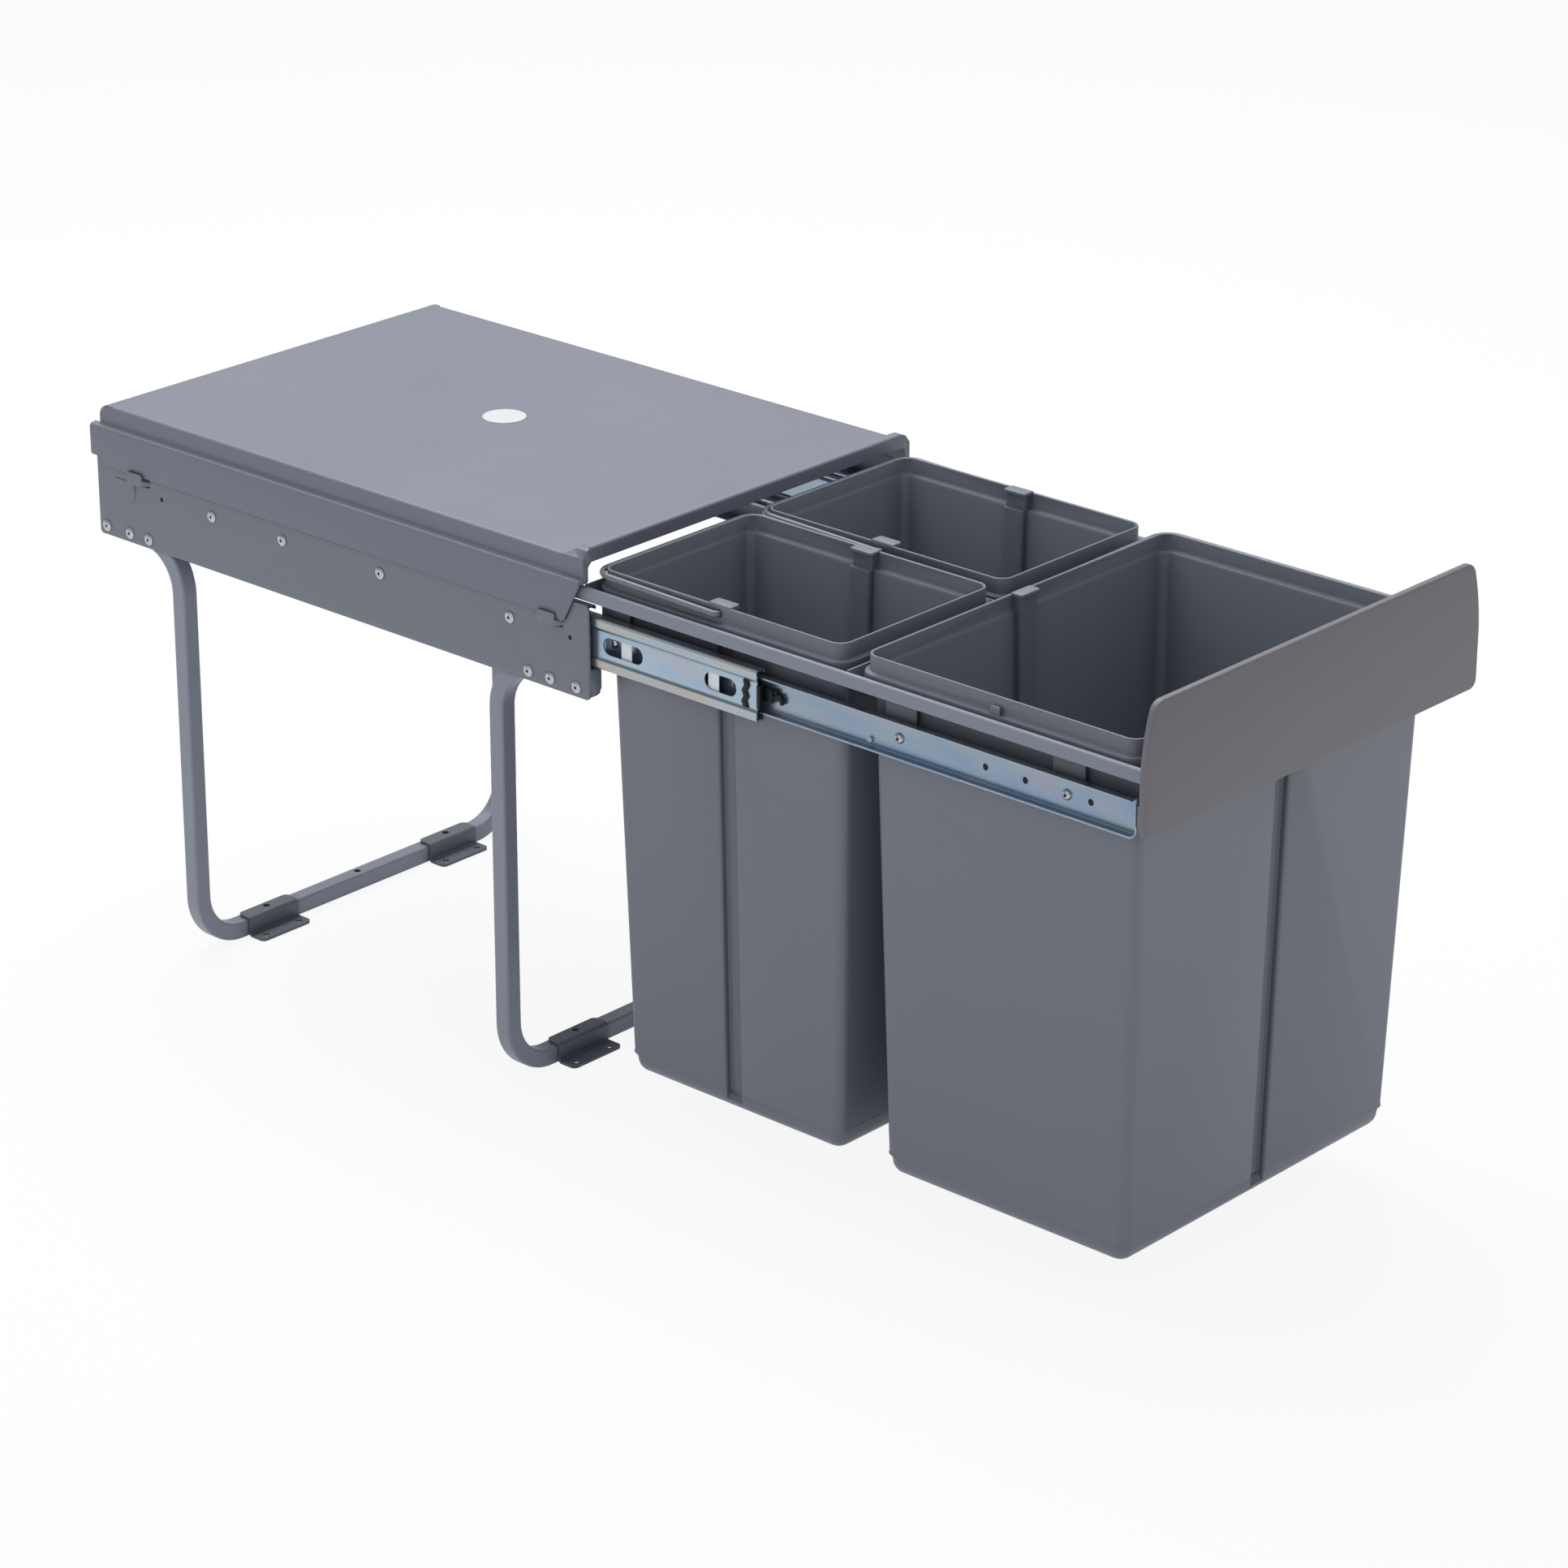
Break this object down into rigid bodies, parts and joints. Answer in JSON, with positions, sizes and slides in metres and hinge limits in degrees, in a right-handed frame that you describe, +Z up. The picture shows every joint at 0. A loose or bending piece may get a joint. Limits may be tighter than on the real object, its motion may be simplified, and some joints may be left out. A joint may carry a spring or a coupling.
{
  "type": "pull out bin frame",
  "caption": "Floor mounted steel frame with a lid, whose carriage runs out on ball slides and carries lift out waste bins with folding handles behind a front panel.",
  "frame": {"origin": "centre of the floor screw pattern, on the floor under the frame", "axes": "+Z up, -Y the way the carriage pulls out, +X to the right seen from the front"},
  "size_m": [0.342, 0.9552, 0.4305],
  "materials": {
    "panel_paint": "satin",
    "lid_paint": "satin",
    "leg_paint": "satin",
    "foot_paint": "satin",
    "rail_paint": "satin",
    "zinc": "zinc plated",
    "cage_steel": "plain",
    "ball_steel": "polished",
    "rivet_metal": "bright",
    "black_plastic": "matt",
    "bin_plastic": "fine grain",
    "handle_plastic": "smooth",
    "front_plastic": "satin"
  },
  "bodies": {
    "frame": {"side_panel_left": "panel_paint", "side_panel_right": "panel_paint", "lid_cover": "lid_paint", "leg_front": "leg_paint", "leg_rear": "leg_paint", "foot_front_left": "foot_paint", "foot_front_right": "foot_paint", "foot_rear_left": "foot_paint", "foot_rear_right": "foot_paint", "slide_rivets": "rivet_metal", "leg_rivets": "rivet_metal", "slide_outer_left": "zinc", "slide_outer_right": "zinc"},
    "carriage": {"slide_inner_left": "zinc", "slide_inner_right": "zinc", "side_rail_left": "rail_paint", "side_rail_right": "rail_paint", "front_rail": "rail_paint", "rear_rail": "rail_paint", "cross_bar": "rail_paint", "centre_bar": "rail_paint", "hangers_left": "rail_paint", "hangers_right": "rail_paint", "hanger_rivets": "rivet_metal", "front_bracket_left": "rail_paint", "front_bracket_right": "rail_paint", "front_screws": "rivet_metal", "front_panel": "front_plastic"},
    "large_bin": {"bin_large": "bin_plastic"},
    "small_bin_left": {"bin_small_left": "bin_plastic"},
    "small_bin_right": {"bin_small_right": "bin_plastic"},
    "large_handle": {"handle_large": "handle_plastic"},
    "small_handle_left": {"handle_small_left": "handle_plastic"},
    "small_handle_right": {"handle_small_right": "handle_plastic"},
    "middle_left": {"slide_middle_left": "zinc", "bumper_left": "black_plastic"},
    "outer_cage_left": {"cage_outer_left": "cage_steel", "balls_outer_left": "ball_steel"},
    "inner_cage_left": {"cage_inner_left": "cage_steel", "balls_inner_left": "ball_steel"},
    "lever_left": {"release_lever_left": "black_plastic"},
    "middle_right": {"slide_middle_right": "zinc", "bumper_right": "black_plastic"},
    "outer_cage_right": {"cage_outer_right": "cage_steel", "balls_outer_right": "ball_steel"},
    "inner_cage_right": {"cage_inner_right": "cage_steel", "balls_inner_right": "ball_steel"},
    "lever_right": {"release_lever_right": "black_plastic"}
  },
  "joints": [
    {"name": "pull_out", "type": "slide", "parent": "frame", "child": "carriage", "axis": [0, -1, 0], "range_m": [-0.4575, 0]},
    {"name": "middle_slide_left", "type": "slide", "parent": "frame", "child": "middle_left", "axis": [0, -1, 0], "range_m": [-0.1527, 0]},
    {"name": "outer_cage_slide_left", "type": "slide", "parent": "frame", "child": "outer_cage_left", "axis": [0, -1, 0], "range_m": [-0.0765, 0]},
    {"name": "inner_cage_slide_left", "type": "slide", "parent": "frame", "child": "inner_cage_left", "axis": [0, -1, 0], "range_m": [-0.3052, 0]},
    {"name": "middle_slide_right", "type": "slide", "parent": "frame", "child": "middle_right", "axis": [0, -1, 0], "range_m": [-0.1527, 0]},
    {"name": "outer_cage_slide_right", "type": "slide", "parent": "frame", "child": "outer_cage_right", "axis": [0, -1, 0], "range_m": [-0.0765, 0]},
    {"name": "inner_cage_slide_right", "type": "slide", "parent": "frame", "child": "inner_cage_right", "axis": [0, -1, 0], "range_m": [-0.3052, 0]},
    {"name": "large_bin_lift", "type": "slide", "parent": "carriage", "child": "large_bin", "axis": [0, 0, 1], "range_m": [0, 0.4]},
    {"name": "large_handle_hinge", "type": "hinge", "parent": "large_bin", "child": "large_handle", "pos_m": [0, -0.5669, 0.39165], "axis": [0, -1, 0], "range_deg": [-2, 180.5]},
    {"name": "small_bin_left_lift", "type": "slide", "parent": "carriage", "child": "small_bin_left", "axis": [0, 0, 1], "range_m": [0, 0.4]},
    {"name": "small_handle_left_hinge", "type": "hinge", "parent": "small_bin_left", "child": "small_handle_left", "pos_m": [-0.07883, -0.3352, 0.39165], "axis": [1, 0, 0], "range_deg": [-2, 181]},
    {"name": "small_bin_right_lift", "type": "slide", "parent": "carriage", "child": "small_bin_right", "axis": [0, 0, 1], "range_m": [0, 0.4]},
    {"name": "small_handle_right_hinge", "type": "hinge", "parent": "small_bin_right", "child": "small_handle_right", "pos_m": [0.07883, -0.3352, 0.39165], "axis": [1, 0, 0], "range_deg": [-2, 181]},
    {"name": "lever_hinge_left", "type": "hinge", "parent": "carriage", "child": "lever_left", "pos_m": [-0.1518, -0.3725, 0.3475], "axis": [1, 0, 0], "range_deg": [0, 6], "stiffness_Nm_per_rad": 0.05},
    {"name": "lever_hinge_right", "type": "hinge", "parent": "carriage", "child": "lever_right", "pos_m": [0.1518, -0.3725, 0.3475], "axis": [1, 0, 0], "range_deg": [0, 6], "stiffness_Nm_per_rad": 0.05}
  ],
  "couplings": [
    {"joint": "middle_slide_left", "follows": "pull_out", "ratio": 0.33333},
    {"joint": "outer_cage_slide_left", "follows": "pull_out", "ratio": 0.16667},
    {"joint": "inner_cage_slide_left", "follows": "pull_out", "ratio": 0.66667},
    {"joint": "middle_slide_right", "follows": "pull_out", "ratio": 0.33333},
    {"joint": "outer_cage_slide_right", "follows": "pull_out", "ratio": 0.16667},
    {"joint": "inner_cage_slide_right", "follows": "pull_out", "ratio": 0.66667}
  ]
}
